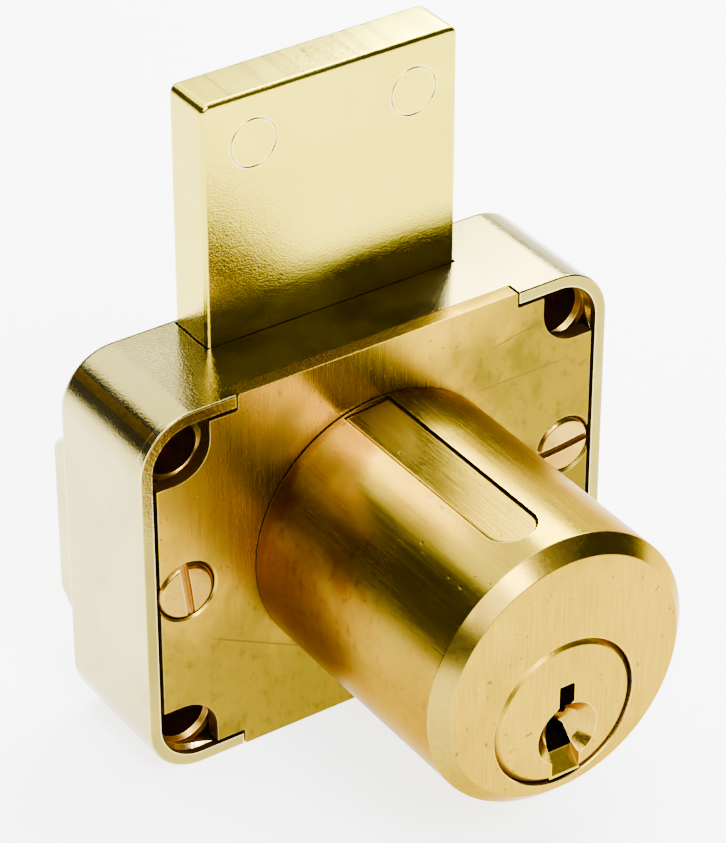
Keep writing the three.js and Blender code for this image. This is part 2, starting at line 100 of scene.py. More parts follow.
CASE_HALF = CASE_HIGH.x
CASE_MIDDLE = (CASE_LOW.z + CASE_HIGH.z) / 2
BARREL_RADIUS = BARREL_HIGH.x
BARREL_FRONT = BARREL_LOW.y
PLUG_RADIUS = PLUG_HIGH.x
PLUG_Z = (PLUG_LOW.z + PLUG_HIGH.z) / 2
BOLT_TOP = BOLT_HIGH.z
JOINTS = {joint["name"]: joint for joint in frame["record"]["behaviour"]["joints"]}
THROW = -JOINTS["bolt_slide"]["range_m"][0] / MM

# ------------------------------------------------------------------ sizes of the details

CASE_DEPTH = 11.5
CASE_CORNER = 4.5
CASE_WALL = 1.0
CASE_BACK_WALL = 0.7
CASE_ARC_STEPS = 20
RIM_EDGE = 0.16
BACK_EDGE = 0.7
RISE_HALF_WIDTH = 19.8
RISE_HALF_HEIGHT = 9.0
RISE_DRAFT = 2.4
RISE_EDGE = 0.5
RISE_WALL = 1.4
RISE_OVERLAP = 0.2

PLATE_THICKNESS = 1.25
PLATE_GAP = 0.35
PLATE_EDGE = 0.07
TAB_HALF_WIDTH = 12.3
TAB_GAP = 0.15
TAB_RELIEF = 0.12
TAB_CHAMFER = 0.15
TAB_SLOT_EDGE = 0.2
NOTCH_X = 14.72
NOTCH_Z = 10.0
NOTCH_CORNER = 3.0

HOLE_X = 16.92
HOLE_Z = 11.96
HOLE_RADIUS = 2.2
HOLE_LIP = 0.3
BOSS_RADIUS = 3.0
BOSS_FRONT = 1.65
BOSS_OVERLAP = 0.3
SINK_RADIUS = 2.9
SINK_DEPTH = 1.2
SINK_EDGE = 0.15
SINK_EDGE_DEPTH = 0.1

SCREW_X = 17.0
SCREW_Z = 0.25
SCREW_HEAD = 2.4
SCREW_DEPTH = 0.85
SCREW_PROUD = 0.15
SCREW_EDGE = 0.3
SCREW_EDGE_DROP = 0.06
SCREW_CROWN_CURVE = 0.16
SCREW_FLAT = 0.3
SCREW_SEAT_EDGE = 0.14
SCREW_SEAT_FLARE = (0.6, 0.4)
SCREW_SHANK = 1.15
SCREW_TIP = 8.5
SCREW_TIP_CHAMFER = 0.4
SCREW_SLOT = 0.7
SCREW_SLOT_DEPTH = 0.5
SLOT_TURNS = {"left": -0.12, "right": math.pi / 2 - 0.1}
POST_RADIUS = 2.6

BARREL_BEVEL = 1.2
BARREL_EDGE = 0.06
BARREL_FACE_RING = 0.2
BARREL_CAP = 2.0
BARREL_GAP = 0.1
SPIGOT_RADIUS = 10.0
LIP_RADIUS = 10.8
PLUG_CHAMFER = 0.45
PLUG_EDGE = 0.04
PLUG_FACE_RING = 0.15
PLUG_CAP = 1.5
PLUG_REAR = 2.6
PLUG_TURN = math.radians(120)
RUNNING_GAP = 0.05
TAIL_HALF = 2.3
TAIL_EDGE = 0.1
CAM_SCREW_BORE = 1.25
CAM_SCREW_BORE_FRONT = 0.2
KEYWAY_REAR = -1.0
KEYWAY_CORNER = 0.07
DISH = (0.35, -2.05)
DISH_RADIUS = 2.6
DISH_DEPTH = 1.3
DISH_SEGMENTS = 36
RAMP_CREST = -4.3
RAMP_START = 0.1
RAMP_END = 1.2

PIN_TILT = math.radians(-6.1)
PIN_COUNT = 5
PIN_PITCH = 3.6
FIRST_PIN_Y = -17.6
CHAMBER_RADIUS = 1.4
CHAMBER_SEGMENTS = 32
KEY_PIN_REST = 0.75
DRIVER_TOP = 3.3
SPRING_RADIUS = 1.05
SPRING_WIRE = 0.15
SPRING_TURNS = 5
SPRING_STEPS = 20
SPRING_SIDES = 8
SPRING_CLOSED_PITCH = 2.1
STRIP_WIDTH = 4.0
STRIP_GAP = 0.05
STRIP_FRONT = -20.2
STRIP_REAR = -0.3
STRIP_UNDER = 12.8
STRIP_TOP = 13.95
STRIP_EDGE = 0.3
STRIP_ARC_STEPS = 24

BOLT_HALF_WIDTH = 10.95
BOLT_GAP = 0.1
BOLT_EDGE = 0.38
BOLT_CORNER = 0.7
BOLT_SLOT_CORNER = 0.1
BOLT_TAIL_TOP = 14.3
BOLT_TAIL_CORNER = 0.4
CRANK_PIN_CLEARANCE = 0.15
CRANK_STEPS = 12
EJECTOR_MARKS = ((-6.64, 31.5), (7.07, 31.4))
EJECTOR_RADIUS = 2.0
EJECTOR_GROOVE = 0.16
EJECTOR_DEPTH = 0.12

ARC_STEPS = 12
ROUND = 160
SMALL_ROUND = 64
SHARP_ANGLE = math.radians(38)
TOLERANCE = 0.01

# ------------------------------------------------------------------ mesh tools


def new_object(name, mesh_builder):
    mesh = bpy.data.meshes.new(name)
    bmesh.ops.recalc_face_normals(mesh_builder, faces=mesh_builder.faces)
    mesh_builder.to_mesh(mesh)
    mesh_builder.free()
    piece = bpy.data.objects.new(name, mesh)
    bpy.context.scene.collection.objects.link(piece)
    return piece


def arc(x, z, radius, start, end, steps=ARC_STEPS):
    """Points on an arc, from one angle to the other."""
    angles = [start + (end - start) * i / steps for i in range(steps + 1)]
    return [(x + radius * math.cos(a), z + radius * math.sin(a)) for a in angles]


def rounded_rectangle(x_min, x_max, z_min, z_max, radius, steps=ARC_STEPS):
    quarter = math.pi / 2
    return (
        arc(x_max - radius, z_min + radius, radius, -quarter, 0, steps)
        + arc(x_max - radius, z_max - radius, radius, 0, quarter, steps)
        + arc(x_min + radius, z_max - radius, radius, quarter, 2 * quarter, steps)
        + arc(x_min + radius, z_min + radius, radius, 2 * quarter, 3 * quarter, steps)
    )


def round_corners(points, radius, steps=4, closed=True):
    """The outline with each corner turned into a small curve of about this radius."""
    count = len(points)
    rounded = []
    for i, point in enumerate(points):
        here = Vector(point)
        if not closed and i in (0, count - 1):
            rounded.append(tuple(here))
            continue
        before = Vector(points[i - 1]) - here
        after = Vector(points[(i + 1) % count]) - here
        reach = min(radius, 0.45 * before.length, 0.45 * after.length)
        start = here + before.normalized() * reach
        end = here + after.normalized() * reach
        for step in range(steps + 1):
            t = step / steps
            rounded.append(tuple((1 - t) ** 2 * start + 2 * t * (1 - t) * here + t ** 2 * end))
    return rounded


def slab(name, outline, front, rear, front_edge=0.0, rear_edge=0.0, steps=3):
    """An outline in X and Z, carried from front to rear along Y, with rounded rims."""
    builder = bmesh.new()
    near = [builder.verts.new((x, front, z)) for x, z in outline]
    far = [builder.verts.new((x, rear, z)) for x, z in outline]
    count = len(outline)
    builder.faces.new(near)
    builder.faces.new(list(reversed(far)))
    for i in range(count):
        j = (i + 1) % count
        builder.faces.new((near[j], near[i], far[i], far[j]))
    bmesh.ops.recalc_face_normals(builder, faces=builder.faces)
    for depth, size in ((front, front_edge), (rear, rear_edge)):
        if size:
            rim = [
                edge for edge in builder.edges
                if all(abs(v.co.y - depth) < 1e-6 for v in edge.verts)
            ]
            bmesh.ops.bevel(
                builder, geom=rim, offset=size, offset_type="OFFSET", segments=steps,
                profile=0.5, affect="EDGES", clamp_overlap=False,
            )
    bmesh.ops.remove_doubles(builder, verts=builder.verts, dist=1e-5)
    return new_object(name, builder)


def block(name, low, high, edge=0.0, steps=3):
    """A box between two corners; edge, if given, rounds all its edges."""
    builder = bmesh.new()
    bmesh.ops.create_cube(builder, size=1)
    low, high = Vector(low), Vector(high)
    for vertex in builder.verts:
        vertex.co = Vector([low[i] if vertex.co[i] < 0 else high[i] for i in range(3)])
    if edge:
        bmesh.ops.bevel(
            builder, geom=builder.edges[:], offset=edge, offset_type="OFFSET", segments=steps,
            profile=0.5, affect="EDGES",
        )
    return new_object(name, builder)


def lathe(name, profile, x=0.0, z=0.0, segments=ROUND):
    """A turned body about a line parallel to Y; the profile lists (radius, y) from front to rear."""
    builder = bmesh.new()
    rings = []
    for radius, y in profile:
        ring = []
        for i in range(segments):
            angle = TAU * i / segments
            around = (x + radius * math.cos(angle), y, z + radius * math.sin(angle))
            ring.append(builder.verts.new(around))
        rings.append(ring)
    for near, far in zip(rings, rings[1:]):
        for i in range(segments):
            j = (i + 1) % segments
            builder.faces.new((near[j], near[i], far[i], far[j]))
    builder.faces.new(rings[0])
    builder.faces.new(list(reversed(rings[-1])))
    return new_object(name, builder)


def rod(name, radius, front, rear, x=0.0, z=0.0, segments=SMALL_ROUND):
    """A plain cylinder along Y, used to add material or to cut it."""
    return lathe(name, [(radius, front), (radius, rear)], x, z, segments)


def lean(piece, y=0.0):
    """Puts a piece, drawn upwards from the plug's axis, where the leaning row of pins stands."""
    piece.data.transform(Matrix.Translation((0, y, PLUG_Z)) @ Matrix.Rotation(PIN_TILT, 4, "Y"))
    return piece


def apply_modifiers(piece):
    """Bakes the modifiers into the mesh."""
    graph = bpy.context.evaluated_depsgraph_get()
    finished = bpy.data.meshes.new_from_object(
        piece.evaluated_get(graph), preserve_all_data_layers=True, depsgraph=graph,
    )
    old = piece.data
    piece.modifiers.clear()
    piece.data = finished
    finished.name = piece.name
    bpy.data.meshes.remove(old)
    return piece


def combine(body, operation, tools):
    """Adds the tools to the body or cuts them from it, and then removes them."""
    for tool in tools:
        modifier = body.modifiers.new("step", "BOOLEAN")
        modifier.operation = operation
        modifier.solver = "EXACT"
        modifier.object = tool
    apply_modifiers(body)
    for tool in tools:
        bpy.data.objects.remove(tool)
    return body


def cut(body, *tools):
    return combine(body, "DIFFERENCE", tools)


def join(body, *tools):
    return combine(body, "UNION", tools)


def place(piece, materials, chooser=None):
    """Shades the piece, gives it its materials and puts it into the row frame in metres."""
    builder = bmesh.new()
    builder.from_mesh(piece.data)
    bmesh.ops.remove_doubles(builder, verts=builder.verts, dist=1e-4)
    bmesh.ops.dissolve_degenerate(builder, dist=1e-5, edges=builder.edges)
    builder.to_mesh(piece.data)
    builder.free()
    mesh = piece.data
    mesh.materials.clear()
    for material in materials:
        mesh.materials.append(material)
    for face in mesh.polygons:
        face.material_index = chooser(face) if chooser else 0
    mesh.shade_smooth()
    mesh.set_sharp_from_angle(angle=SHARP_ANGLE)
    weighting = piece.modifiers.new("weighting", "WEIGHTED_NORMAL")
    weighting.keep_sharp = True
    apply_modifiers(piece)
    piece.data.transform(Matrix.Translation(ORIGIN) @ Matrix.Scale(MM, 4))
    return piece


def dress(piece, body, slot, *nodes):
    """Rides the piece on its body, in place of the CAD nodes."""
    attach(piece, body)
    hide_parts(*nodes)
    return piece


def each_corner(function):
    """What the function makes at each corner: side is -1 or 1 along X, end is -1 or 1 along Z."""
    return [function(side, end) for side in (-1, 1) for end in (-1, 1)]


# ------------------------------------------------------------------ material tools


class Metal:
    """A metal whose colour, roughness and fine relief come from noise in millimetres."""

    def __init__(self, name, grazing=(1.0, 1.0, 1.0)):
        self.material = bpy.data.materials.new(name)
        self.material.use_nodes = True
        self.tree = self.material.node_tree
        self.shader = self.tree.nodes["Principled BSDF"]
        self.shader.inputs["Metallic"].default_value = 1.0
        self.shader.inputs["Specular Tint"].default_value = (*grazing, 1.0)
        self.place = self.tree.nodes.new("ShaderNodeTexCoord").outputs["Object"]

    def node(self, kind, **settings):
        made = self.tree.nodes.new(kind)
        for key, value in settings.items():
            setattr(made, key, value)
        return made

    def link(self, source, target):
        self.tree.links.new(source, target)

    def noise(self, per_mm, detail=3.0, roughness=0.55, warp=0.0, shift=0.0):
        """Noise with this many features per millimetre along X, Y and Z."""
        mapping = self.node("ShaderNodeMapping")
        mapping.inputs["Scale"].default_value = [f / MM for f in per_mm]
        mapping.inputs["Location"].default_value = (shift, shift, shift)
        texture = self.node("ShaderNodeTexNoise")
        texture.inputs["Scale"].default_value = 1.0
        texture.inputs["Detail"].default_value = detail
        texture.inputs["Roughness"].default_value = roughness
        texture.inputs["Distortion"].default_value = warp
        self.link(self.place, mapping.inputs["Vector"])
        self.link(mapping.outputs["Vector"], texture.inputs["Vector"])
        return texture.outputs["Fac"]

    def fit(self, value, low, high, to_low=0.0, to_high=1.0):
        """Stretches a value from one range to another, smoothly."""
        fitted = self.node("ShaderNodeMapRange", interpolation_type="SMOOTHSTEP")
        for name, number in (
            ("From Min", low), ("From Max", high), ("To Min", to_low), ("To Max", to_high),
        ):
            fitted.inputs[name].default_value = number
        self.link(value, fitted.inputs["Value"])
        return fitted.outputs["Result"]

    def along_axes(self):
        """The place in millimetres along each lock axis."""
        scaled = self.node("ShaderNodeVectorMath", operation="SCALE")
        scaled.inputs["Scale"].default_value = 1 / MM
        moved = self.node("ShaderNodeVectorMath", operation="SUBTRACT")
        moved.inputs[1].default_value = ORIGIN / MM
        parts = self.node("ShaderNodeSeparateXYZ")
        self.link(self.place, scaled.inputs[0])
        self.link(scaled.outputs["Vector"], moved.inputs[0])
        self.link(moved.outputs["Vector"], parts.inputs["Vector"])
        return parts.outputs

    def scratch(self, start, end, width=0.09):
        """0.75 along a scratch between two (x, z) places in millimetres, fading to its ends."""
        x, _, z = self.along_axes()
        length = math.hypot(end[0] - start[0], end[1] - start[1])
        along = ((end[0] - start[0]) / length, (end[1] - start[1]) / length)
        run = self.sum(self.times(x, along[0]), self.times(z, along[1]))
        off = self.sum(self.times(x, -along[1]), self.times(z, along[0]))
        from_line = self.away(off, start[1] * along[0] - start[0] * along[1])
        from_middle = self.away(run, start[0] * along[0] + start[1] * along[1] + length / 2)
        line = self.fit(from_line, width, width / 3)
        return self.times(line, self.fit(from_middle, length / 2, length / 3, 0.0, 0.75))

    def away(self, value, middle):
        """The distance of a value from a fixed middle."""
        shifted = self.node("ShaderNodeMath", operation="SUBTRACT")
        self.link(value, shifted.inputs[0])
        shifted.inputs[1].default_value = middle
        absolute = self.node("ShaderNodeMath", operation="ABSOLUTE")
        self.link(shifted.outputs[0], absolute.inputs[0])
        return absolute.outputs[0]

    def sum(self, *values):
        total = values[0]
        for value in values[1:]:
            adder = self.node("ShaderNodeMath", operation="ADD")
            self.link(total, adder.inputs[0])
            self.link(value, adder.inputs[1])
            total = adder.outputs[0]
        return total

    def times(self, value, factor):
        scaler = self.node("ShaderNodeMath", operation="MULTIPLY")
        self.link(value, scaler.inputs[0])
        if isinstance(factor, float):
            scaler.inputs[1].default_value = factor
        else:
            self.link(factor, scaler.inputs[1])
        return scaler.outputs[0]

    def blend(self, amount, first, second):
        """Mixes two colours, each a tuple or an output."""
        mixer = self.node("ShaderNodeMix", data_type="RGBA")
        self.link(amount, mixer.inputs["Factor"])
        for socket, colour in ((mixer.inputs[6], first), (mixer.inputs[7], second)):
            if isinstance(colour, tuple):
                socket.default_value = (*colour, 1.0)
            else:
                self.link(colour, socket)
        return mixer.outputs[2]

    def painted_edge_glint(self, radius=0.12):
        """1 on edges of about this radius, 0 on flats; it places a painted edge highlight."""
        softened = self.node("ShaderNodeBevel", samples=4)
        softened.inputs["Radius"].default_value = radius * MM
        true = self.node("ShaderNodeNewGeometry")
        product = self.node("ShaderNodeVectorMath", operation="DOT_PRODUCT")
        self.link(softened.outputs["Normal"], product.inputs[0])
        self.link(true.outputs["Normal"], product.inputs[1])
        return self.fit(product.outputs["Value"], 0.995, 0.90)

    def colour(self, output):
        self.link(output, self.shader.inputs["Base Color"])

    def roughness(self, output):
        self.link(output, self.shader.inputs["Roughness"])

    def relief(self, *layers):
        """Each layer is (height output, depth in millimetres)."""
        normal = None
        for height, depth in layers:
            bump = self.node("ShaderNodeBump")
            bump.inputs["Distance"].default_value = depth * MM
            self.link(height, bump.inputs["Height"])
            if normal:
                self.link(normal, bump.inputs["Normal"])
            normal = bump.outputs["Normal"]
        self.link(normal, self.shader.inputs["Normal"])


def plated(name, dull, clear, edge_glint_tone, grain_per_mm, shift, ridges=None):
    """Pale brass plating over a finely grained die casting.

    ridges, if given, is the scale of the milling marks that show through, per millimetre on each axis.
    """
    metal = Metal(name)
    cloud = metal.fit(metal.noise((0.10, 0.10, 0.10), 3, 0.6, 0.4, shift), 0.35, 0.68)
    speck = metal.fit(metal.noise((5.0, 5.0, 5.0), 2, 0.6, 0.0, shift), 0.64, 0.76)
    body = metal.blend(cloud, dull, clear)
    # The edge tone is a painted highlight along the edges.
    edge_glinted = metal.blend(metal.painted_edge_glint(0.2), body, edge_glint_tone)
    if ridges:
        marks = metal.noise(ridges, 1, 0.5, 0.0, shift)
        edge_glinted = metal.blend(metal.fit(marks, 0.50, 0.66, 0.0, 0.5), edge_glinted, (0.34, 0.26, 0.06))
    metal.colour(metal.blend(metal.times(speck, 0.6), edge_glinted, (0.30, 0.20, 0.02)))
    grain = metal.noise((grain_per_mm, grain_per_mm, grain_per_mm), 3, 0.6, 0.2, shift)
    metal.roughness(metal.fit(metal.sum(grain, cloud), 0.5, 1.5, 0.09, 0.17))
    waves = metal.noise((0.8, 0.8, 0.8), 2, 0.5, 0.0, shift)
    layers = [(grain, 0.10 / grain_per_mm), (waves, 0.006)]
    if ridges:
        layers.append((marks, 0.006))
    metal.relief(*layers)
    return metal.material


def brushed(
    name, line, tones, stain_and_shade, rough=(0.25, 0.38), pits=0.5, shift=0.0, line_depth=0.006,
    darkening_layout=None, scratches=(), grazing=(0.80, 0.62, 0.35),
):
    """Metal brushed along one way; line is the scale of its lines per millimetre on each axis.

    tones are two base tones, the tone of the lines and the tone of the painted edge highlight.
    The stain tone argument is the tone of the tarnish, also used as painted shade, and its strength.
    The layout function, if given, takes the metal and returns how strongly that tone goes on at
    each place. Each scratch has two ends, given in X and Z.
    """
    metal = Metal(name, grazing)
    lines = metal.noise(line, 3, 0.7, 0.0, shift)
    broad = metal.fit(metal.noise((0.11, 0.07, 0.09), 3, 0.6, 0.6, shift), 0.32, 0.68)
    tarnish_and_shade = metal.fit(metal.noise((0.20, 0.12, 0.16), 3, 0.5, 0.5, shift + 7), 0.48, 0.78)
    mottle = metal.fit(metal.noise((1.5, 1.5, 1.1), 4, 0.6, 0.3, shift + 9), 0.50, 0.80, 0.0, 0.4)
    # A layout function can lay painted shade with the tarnish tone, as it does on the barrel.
    if darkening_layout:
        tarnish_and_shade = metal.sum(metal.times(tarnish_and_shade, 0.35), darkening_layout(metal))
    tint = metal.blend(broad, tones[0], tones[1])
    streaked = metal.blend(metal.fit(lines, 0.30, 0.72, 0.0, 0.45), tint, tones[2])
    spread = metal.sum(tarnish_and_shade, metal.times(mottle, tarnish_and_shade))
    toned_with_stain_and_shade = metal.blend(metal.times(spread, stain_and_shade[1]), streaked, stain_and_shade[0])
    pit = metal.fit(metal.noise((2.1, 2.1, 2.1), 1, 0.4, 0.0, shift + 3), 0.725, 0.79)
    flaws = metal.times(pit, pits)
    for start, end in scratches:
        flaws = metal.sum(flaws, metal.scratch(start, end))
    # The fourth tone is a painted highlight along the edges.
    edge_glinted = metal.blend(metal.times(metal.painted_edge_glint(0.12), 0.7), toned_with_stain_and_shade, tones[3])
    metal.colour(metal.blend(flaws, edge_glinted, (0.10, 0.05, 0.01)))
    metal.roughness(metal.fit(metal.sum(lines, tarnish_and_shade), 0.3, 1.3, rough[0], rough[1]))
    metal.relief((lines, line_depth), (metal.times(flaws, -1.0), 0.02))
    return metal.material


def barrel_painted_light_layout(metal):
    """Where the barrel's stain tone goes, laid out as painted light: brown on its left flank as a painted
    dark reflection, most of all near the plate, painted shade at the joint with the plate, less on its
    right, and a clean band left where the highlight stripe falls.
    """
    x, y, _ = metal.along_axes()
    wander = metal.fit(metal.noise((0.16, 0.10, 0.16), 3, 0.55, 0.5, 5.0), 0.3, 0.7, -2.2, 2.2)
    left = metal.fit(metal.sum(x, wander), -5.0, -10.5)
    right = metal.fit(metal.sum(x, wander), -1.0, 6.0, 0.0, 0.62)
    behind = metal.fit(metal.sum(y, wander), -17.5, -9.0, 0.6, 1.0)
    joint = metal.fit(y, -1.2, -0.2, 0.0, 0.5)
    return metal.sum(metal.times(left, behind), joint, right)


PLATED_CASE = plated(
    "plated_case", (0.31, 0.255, 0.060), (0.38, 0.315, 0.095), (0.80, 0.70, 0.30), 5.5, 0.0,
)
# The front rim is a darker copy of the case plating: painted shade.
PLATED_RIM_SHADED = plated(
    "plated_rim_painted_shade", (0.20, 0.155, 0.018), (0.26, 0.205, 0.03), (0.80, 0.68, 0.25), 4.5, 20.0,
)
PLATED_BOLT = plated(
    "plated_bolt", (0.50, 0.40, 0.012), (0.57, 0.46, 0.022), (0.90, 0.76, 0.18), 6.5, 40.0,
)
PLATED_BOLT_TOP = plated(
    "plated_bolt_top", (0.72, 0.60, 0.02), (0.84, 0.70, 0.03), (0.95, 0.82, 0.22), 6.5, 50.0,
    (2.4, 0.05, 1.0),
)
# The ejector groove floor is a darker copy of the bolt plating: painted shade.
PLATED_GROOVE_SHADED = plated(
    "plated_groove_painted_shade", (0.17, 0.12, 0.006), (0.24, 0.17, 0.01), (0.90, 0.78, 0.3), 6.5, 60.0,
)


def plate_darkening_layout(metal):
    """The plate is darker on its right and towards its foot, and left lighter over the barrel."""
    x, _, z = metal.along_axes()
    wander = metal.fit(metal.noise((0.14, 0.14, 0.10), 4, 0.6, 0.8, 9.0), 0.3, 0.7, -4.0, 4.0)
    right = metal.fit(metal.sum(x, wander), 1.0, 13.0, 0.0, 0.85)
    low = metal.fit(metal.sum(z, wander), 2.0, -9.0, 0.0, 0.75)
    return metal.sum(right, low)


PLATE_SCRATCHES = (
    ((8.0, 8.2), (17.4, 8.3)),
    ((9.6, 11.5), (14.9, 12.5)),
    ((-15.5, -4.6), (-6.0, -9.4)),
)
PLATE_BRASS = brushed(
    "satin_brass_plate", (9.0, 9.0, 0.22),
    ((0.26, 0.175, 0.0), (0.36, 0.20, 0.0), (0.38, 0.255, 0.002), (0.60, 0.42, 0.06)),
    ((0.085, 0.060, 0.002), 0.95), shift=3.0, line_depth=0.0016, darkening_layout=plate_darkening_layout,
    scratches=PLATE_SCRATCHES,
)
SCREW_BRASS = brushed(
    "screw_brass", (3.0, 3.0, 3.0),
    ((0.28, 0.16, 0.01), (0.34, 0.21, 0.02), (0.40, 0.26, 0.03), (0.85, 0.66, 0.2)),
    ((0.16, 0.06, 0.004), 0.6), rough=(0.18, 0.3), shift=11.0,
)
# The barrel's stain tone is laid out as painted light: a dark reflection on its left flank and shade at
# the plate.
BARREL_SIDE = brushed(
    "turned_brass_side", (4.0, 0.12, 4.0),
    ((0.23, 0.155, 0.004), (0.28, 0.195, 0.008), (0.35, 0.245, 0.012), (0.80, 0.62, 0.15)),
    ((0.095, 0.036, 0.002), 0.9), rough=(0.18, 0.30), shift=21.0, line_depth=0.003, darkening_layout=barrel_painted_light_layout,
)
BEVEL_BRASS = brushed(
    "turned_brass_bevel", (3.0, 3.0, 3.0),
    ((0.22, 0.145, 0.008), (0.26, 0.175, 0.014), (0.32, 0.22, 0.02), (0.85, 0.68, 0.22)),
    ((0.16, 0.08, 0.004), 0.4), rough=(0.20, 0.30), pits=0.15, shift=25.0, line_depth=0.002,
)
BARREL_FACE = brushed(
    "turned_brass_face", (5.0, 5.0, 0.25),
    ((0.24, 0.148, 0.0), (0.29, 0.18, 0.0), (0.44, 0.285, 0.002), (0.8, 0.60, 0.08)),
    ((0.24, 0.13, 0.0), 0.3), rough=(0.32, 0.44), pits=0.8, shift=31.0, line_depth=0.009,
)
STRIP_BRASS = brushed(
    "strip_brass", (6.0, 0.2, 6.0),
    ((0.19, 0.125, 0.004), (0.24, 0.165, 0.008), (0.32, 0.22, 0.012), (0.8, 0.6, 0.15)),
    ((0.13, 0.065, 0.004), 0.6), shift=41.0, line_depth=0.010,
)
PLUG_BRASS = brushed(
    "plug_brass", (5.0, 5.0, 0.25),
    ((0.24, 0.148, 0.0), (0.29, 0.18, 0.0), (0.44, 0.28, 0.002), (0.85, 0.63, 0.08)),
    ((0.24, 0.13, 0.0), 0.3), rough=(0.30, 0.42), pits=0.8, shift=37.0, line_depth=0.009,
)
MILLED_BRASS = brushed(
    "milled_brass", (5.0, 5.0, 5.0),
    ((0.22, 0.13, 0.004), (0.30, 0.18, 0.006), (0.42, 0.28, 0.015), (0.85, 0.66, 0.15)),
    ((0.09, 0.045, 0.002), 0.5), rough=(0.16, 0.26), shift=45.0,
)
PIN_BRASS = brushed(
    "pin_brass", (4.0, 4.0, 4.0),
    ((0.35, 0.22, 0.02), (0.42, 0.28, 0.04), (0.5, 0.33, 0.06), (0.8, 0.6, 0.2)),
    ((0.2, 0.1, 0.01), 0.5), shift=51.0,
)
ZINC_STEEL = brushed(
    "zinc_steel", (5.0, 5.0, 5.0),
    ((0.48, 0.48, 0.46), (0.60, 0.60, 0.57), (0.68, 0.68, 0.66), (0.85, 0.85, 0.82)),
    ((0.30, 0.27, 0.22), 0.5), shift=61.0,
)
SPRING_STEEL = brushed(
    "spring_steel", (5.0, 5.0, 5.0),
    ((0.40, 0.41, 0.43), (0.52, 0.53, 0.55), (0.62, 0.63, 0.65), (0.8, 0.8, 0.82)),
    ((0.20, 0.18, 0.16), 0.5), shift=71.0,
)
# Near-black painted shade for the walls of the corner screw holes.
HOLE_PAINTED_SHADE = brushed(
    "hole_painted_shade", (3.0, 3.0, 3.0),
    ((0.035, 0.012, 0.006), (0.06, 0.02, 0.008), (0.08, 0.03, 0.01), (0.2, 0.1, 0.03)),
    ((0.02, 0.01, 0.008), 0.6), rough=(0.45, 0.6), shift=81.0,
)
RAW_CASTING = brushed(
    "raw_casting", (3.0, 3.0, 3.0),
    ((0.20, 0.10, 0.006), (0.28, 0.15, 0.012), (0.34, 0.2, 0.02), (0.8, 0.62, 0.2)),
    ((0.10, 0.03, 0.003), 0.6), rough=(0.3, 0.45), shift=91.0,
)

# ------------------------------------------------------------------ case


def screw_hole(side, end):
    """The cutter for a corner hole, with a lip in front and a countersink behind."""
    sink_start = CASE_DEPTH - SINK_DEPTH
    profile = [
        (HOLE_RADIUS + HOLE_LIP + 1, BOSS_FRONT - 1), (HOLE_RADIUS + HOLE_LIP, BOSS_FRONT),
        (HOLE_RADIUS, BOSS_FRONT + HOLE_LIP), (HOLE_RADIUS, sink_start),
        (SINK_RADIUS, CASE_DEPTH - SINK_EDGE_DEPTH), (SINK_RADIUS + SINK_EDGE, CASE_DEPTH),
        (SINK_RADIUS + 1, CASE_DEPTH + 1),
    ]
    return lathe("hole", profile, side * HOLE_X, CASE_MIDDLE + end * HOLE_Z, SMALL_ROUND)


def screw_boss(side, end):
    """The round boss inside the case that a corner hole runs through."""
    x, z = side * HOLE_X, CASE_MIDDLE + end * HOLE_Z
    return rod("boss", BOSS_RADIUS, BOSS_FRONT, CASE_DEPTH - BOSS_OVERLAP, x, z)


def back_rise(half_flat, base):
    """The raised block on the back: a section in Y and Z with two sloping sides, carried along X."""
    builder = bmesh.new()
    section = [
        (base, -RISE_HALF_HEIGHT), (CASE_DEPTH, -RISE_HALF_HEIGHT), (CASE_HIGH.y, -half_flat),
        (CASE_HIGH.y, half_flat), (CASE_DEPTH, RISE_HALF_HEIGHT), (base, RISE_HALF_HEIGHT),
    ]
    ends = [
        [builder.verts.new((x, y, CASE_MIDDLE + z)) for y, z in section]
        for x in (-RISE_HALF_WIDTH, RISE_HALF_WIDTH)
    ]
    count = len(section)
    for ring in ends:
        builder.faces.new(ring)
    for i in range(count):
        j = (i + 1) % count
        builder.faces.new((ends[0][i], ends[0][j], ends[1][j], ends[1][i]))
    bmesh.ops.recalc_face_normals(builder, faces=builder.faces)
    outer = []
    for edge in builder.edges:
        near, far = sorted(vertex.co.y for vertex in edge.verts)
        if near > base + TOLERANCE or (far > CASE_DEPTH - TOLERANCE and far - near > 10 * TOLERANCE):
            outer.append(edge)
    bmesh.ops.bevel(
        builder, geom=outer, offset=RISE_EDGE, offset_type="OFFSET", segments=4, profile=0.5,
        affect="EDGES",
    )
    return new_object("rise", builder)


def case_part(face):
    """Chooses the plated outside, the raw inside, a screw hole wall painted near black as shade, or the
    front rim, a darker copy of the plating as painted shade.
    """
    x, y, z = face.center
    from_hole = math.hypot(abs(x) - HOLE_X, abs(z - CASE_MIDDLE) - HOLE_Z)
    # The hole wall is painted near black as shade.
    if from_hole < HOLE_RADIUS + 0.05 and BOSS_FRONT + HOLE_LIP < y < CASE_DEPTH - SINK_DEPTH:
        return 2
    inside = (
        abs(x) < CASE_HALF - CASE_WALL + TOLERANCE and 0.2 < y < CASE_HIGH.y - 0.5
        and CASE_LOW.z + CASE_WALL - TOLERANCE < z < CASE_HIGH.z - CASE_WALL + TOLERANCE
        and (y < CASE_DEPTH - CASE_BACK_WALL + TOLERANCE or face.normal.y < -0.5)
    )
    if inside:
        return 1
    return 3 if y < RIM_EDGE / 2 and face.normal.y < -0.9 else 0


